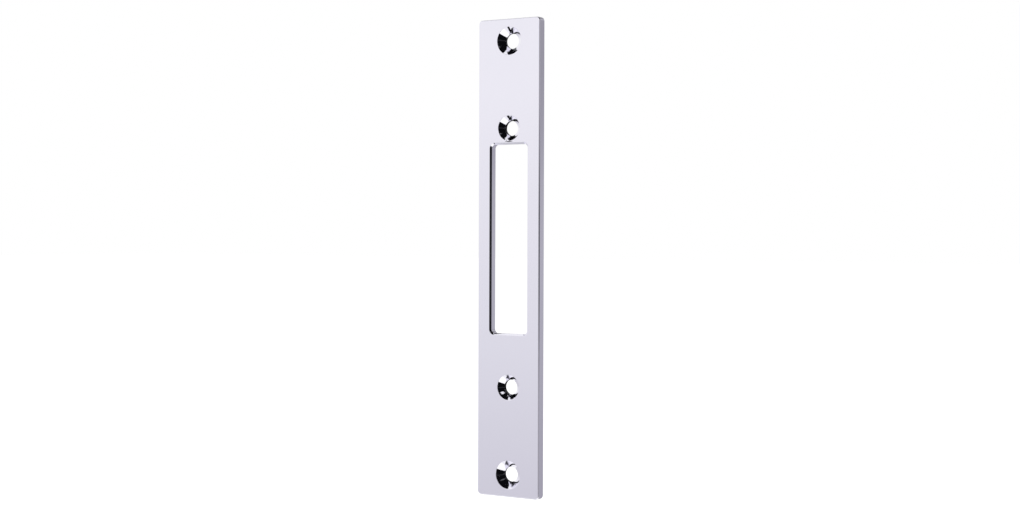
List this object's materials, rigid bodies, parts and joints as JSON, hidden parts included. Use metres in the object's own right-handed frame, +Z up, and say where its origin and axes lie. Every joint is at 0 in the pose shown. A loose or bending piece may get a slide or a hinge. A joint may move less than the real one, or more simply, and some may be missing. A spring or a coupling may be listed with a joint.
{
  "type": "door strike plate",
  "caption": "Flat polished strike plate with a tall rounded slot for a lock's bolt and countersunk screw holes above and below it.",
  "frame": {"origin": "midway between the two end screws, on the back face that seats on the door frame", "axes": "+Z up the plate's length, +X across its width, +Y out of its back face into the door frame"},
  "size_m": [0.025, 0.003, 0.1652],
  "materials": {
    "polished_chrome": "polished chrome plate on steel"
  },
  "bodies": {
    "root": {"strike_plate": "polished_chrome"}
  },
  "joints": []
}
